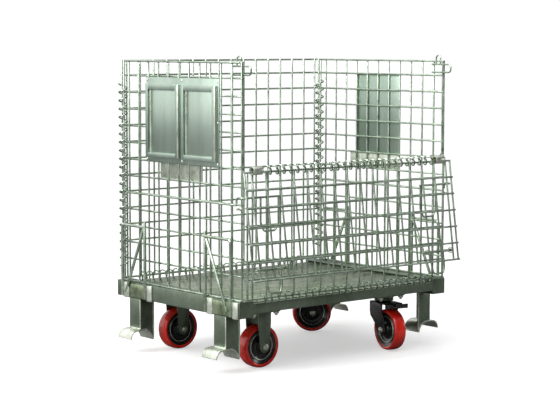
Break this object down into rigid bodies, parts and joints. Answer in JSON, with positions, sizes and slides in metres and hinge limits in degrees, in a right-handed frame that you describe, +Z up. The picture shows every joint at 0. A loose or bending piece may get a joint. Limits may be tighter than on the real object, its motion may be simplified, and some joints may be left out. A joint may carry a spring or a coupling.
{
  "type": "wheeled wire mesh container",
  "caption": "Collapsible steel mesh container on casters, with a folding half gate, coil hinges, stacking feet and label holders.",
  "frame": {"origin": "under the middle of the object's box, on the surface it stands on", "axes": "+X the object's right, +Y its back, +Z up; the gate is at -Y"},
  "size_m": [0.8716, 0.6624, 0.8953],
  "materials": {
    "galvanised_steel": "galvanised, semi gloss",
    "wire_zinc": "bright zinc",
    "pale_zinc": "pale zinc, satin",
    "black_steel": "black, semi gloss",
    "red_tread": "cast polyurethane, glossy"
  },
  "bodies": {
    "base": {"left_rail": "galvanised_steel", "right_rail": "galvanised_steel", "front_rail": "galvanised_steel", "rear_rail": "galvanised_steel", "front_cross_member": "galvanised_steel", "rear_cross_member": "galvanised_steel", "floor_sheet": "galvanised_steel", "back_mesh": "wire_zinc", "rear_left_coil": "wire_zinc", "rear_right_coil": "wire_zinc", "gate_base_coil": "wire_zinc", "back_base_coil": "wire_zinc", "front_left_foot": "galvanised_steel", "front_left_saddle": "pale_zinc", "front_left_guard": "wire_zinc", "front_right_foot": "galvanised_steel", "front_right_saddle": "pale_zinc", "front_right_guard": "wire_zinc", "front_fixed_fork": "galvanised_steel", "front_fixed_axle": "galvanised_steel", "front_swivel_plate": "galvanised_steel", "rear_left_foot": "galvanised_steel", "rear_left_saddle": "pale_zinc", "rear_left_guard": "wire_zinc", "rear_right_foot": "galvanised_steel", "rear_right_saddle": "pale_zinc", "rear_right_guard": "wire_zinc", "rear_fixed_fork": "galvanised_steel", "rear_fixed_axle": "galvanised_steel", "rear_swivel_plate": "galvanised_steel"},
    "left_side": {"left_side_mesh": "wire_zinc", "left_latch_eye": "wire_zinc", "left_gate_lug": "wire_zinc", "left_label_holder": "galvanised_steel", "left_inner_plate": "pale_zinc"},
    "right_side": {"right_side_mesh": "wire_zinc", "right_latch_eye": "wire_zinc", "right_gate_lug": "wire_zinc", "right_label_plate": "galvanised_steel"},
    "gate": {"gate_mesh": "wire_zinc", "flap_coil": "wire_zinc"},
    "flap": {"flap_mesh": "wire_zinc"},
    "gate_left_latch": {"gate_left_latch": "wire_zinc"},
    "flap_left_bolt": {"flap_left_bolt": "wire_zinc"},
    "gate_right_latch": {"gate_right_latch": "wire_zinc"},
    "flap_right_bolt": {"flap_right_bolt": "wire_zinc"},
    "front_fixed_wheel": {"front_fixed_rim": "black_steel", "front_fixed_tyre": "red_tread"},
    "front_swivel": {"front_swivel_fork": "black_steel", "front_swivel_axle": "galvanised_steel"},
    "front_swivel_wheel": {"front_swivel_rim": "black_steel", "front_swivel_tyre": "red_tread"},
    "front_brake_pedal": {"front_brake_pedal": "black_steel"},
    "rear_fixed_wheel": {"rear_fixed_rim": "black_steel", "rear_fixed_tyre": "red_tread"},
    "rear_swivel": {"rear_swivel_fork": "black_steel", "rear_swivel_axle": "galvanised_steel"},
    "rear_swivel_wheel": {"rear_swivel_rim": "black_steel", "rear_swivel_tyre": "red_tread"},
    "rear_brake_pedal": {"rear_brake_pedal": "black_steel"}
  },
  "joints": [
    {"name": "left_side_swing", "type": "hinge", "parent": "base", "child": "left_side", "pos_m": [-0.39, 0.30419, 0.545], "axis": [0, 0, 1], "range_deg": [0, 88]},
    {"name": "right_side_swing", "type": "hinge", "parent": "base", "child": "right_side", "pos_m": [0.39, 0.30419, 0.545], "axis": [0, 0, -1], "range_deg": [0, 79]},
    {"name": "gate_fold", "type": "hinge", "parent": "base", "child": "gate", "pos_m": [0, -0.27781, 0.22], "axis": [1, 0, 0], "range_deg": [0, 90]},
    {"name": "flap_fold", "type": "hinge", "parent": "gate", "child": "flap", "pos_m": [0, -0.28181, 0.579], "axis": [1, 0, 0], "range_deg": [-171.9, 0]},
    {"name": "gate_left_latch_drop", "type": "slide", "parent": "gate", "child": "gate_left_latch", "axis": [0, 0, 1], "range_m": [-0.02, 0]},
    {"name": "gate_right_latch_drop", "type": "slide", "parent": "gate", "child": "gate_right_latch", "axis": [0, 0, 1], "range_m": [-0.02, 0]},
    {"name": "flap_left_bolt_slide", "type": "slide", "parent": "flap", "child": "flap_left_bolt", "axis": [-1, 0, 0], "range_m": [0, 0.018]},
    {"name": "flap_right_bolt_slide", "type": "slide", "parent": "flap", "child": "flap_right_bolt", "axis": [1, 0, 0], "range_m": [0, 0.018]},
    {"name": "front_fixed_wheel_spin", "type": "hinge", "parent": "base", "child": "front_fixed_wheel", "pos_m": [-0.25, -0.16481, 0.0625], "axis": [0, 1, 0], "continuous": true},
    {"name": "rear_fixed_wheel_spin", "type": "hinge", "parent": "base", "child": "rear_fixed_wheel", "pos_m": [-0.25, 0.22719, 0.0625], "axis": [0, 1, 0], "continuous": true},
    {"name": "front_swivel_turn", "type": "hinge", "parent": "base", "child": "front_swivel", "pos_m": [0.243, -0.16481, 0.1], "axis": [0, 0, 1], "continuous": true},
    {"name": "front_swivel_wheel_spin", "type": "hinge", "parent": "front_swivel", "child": "front_swivel_wheel", "pos_m": [0.23692, -0.19928, 0.0625], "axis": [0.9848, -0.1736, 0], "continuous": true},
    {"name": "front_brake_pedal_press", "type": "hinge", "parent": "front_swivel", "child": "front_brake_pedal", "pos_m": [0.23223, -0.22587, 0.135], "axis": [0.9848, -0.1736, 0], "range_deg": [0, 10]},
    {"name": "rear_swivel_turn", "type": "hinge", "parent": "base", "child": "rear_swivel", "pos_m": [0.243, 0.22719, 0.1], "axis": [0, 0, 1], "continuous": true},
    {"name": "rear_swivel_wheel_spin", "type": "hinge", "parent": "rear_swivel", "child": "rear_swivel_wheel", "pos_m": [0.27167, 0.20711, 0.0625], "axis": [0.5736, 0.8192, 0], "continuous": true},
    {"name": "rear_brake_pedal_press", "type": "hinge", "parent": "rear_swivel", "child": "rear_brake_pedal", "pos_m": [0.29379, 0.19163, 0.135], "axis": [0.5736, 0.8192, 0], "range_deg": [0, 10]}
  ]
}
